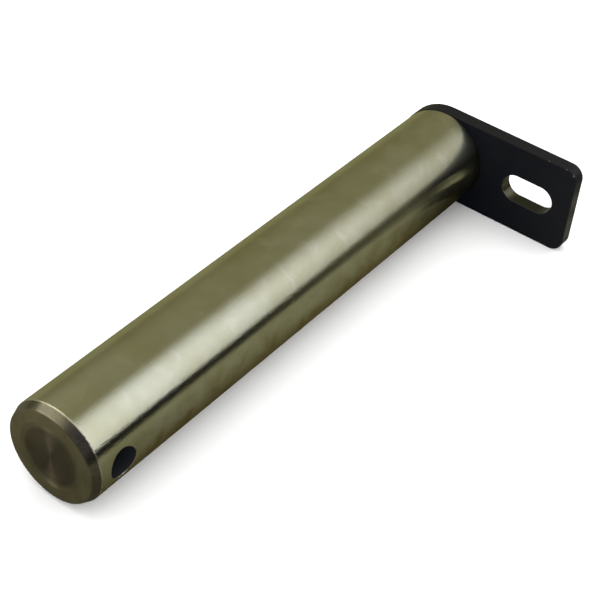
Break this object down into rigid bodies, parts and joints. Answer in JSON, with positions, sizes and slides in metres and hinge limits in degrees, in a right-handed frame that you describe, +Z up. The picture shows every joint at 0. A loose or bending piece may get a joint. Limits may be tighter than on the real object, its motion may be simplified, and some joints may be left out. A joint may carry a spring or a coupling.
{
  "type": "flag pin",
  "caption": "Ground steel hitch or pivot pin with a chamfered, cross-drilled tip and a slotted black keeper plate welded square across its other end.",
  "frame": {"origin": "on the surface that the part lies on, under the middle of its box", "axes": "+Y along the pin from its tip towards the plate, +X along the plate towards its slotted end, +Z up off the surface"},
  "size_m": [0.083, 0.242, 0.0405],
  "materials": {
    "ground_steel": "ground and lightly oiled",
    "black_plate": "black, satin",
    "weld_metal": "as welded"
  },
  "bodies": {
    "root": {"pin_shank": "ground_steel", "flag_plate": "black_plate", "weld_bead": "weld_metal"}
  },
  "joints": []
}
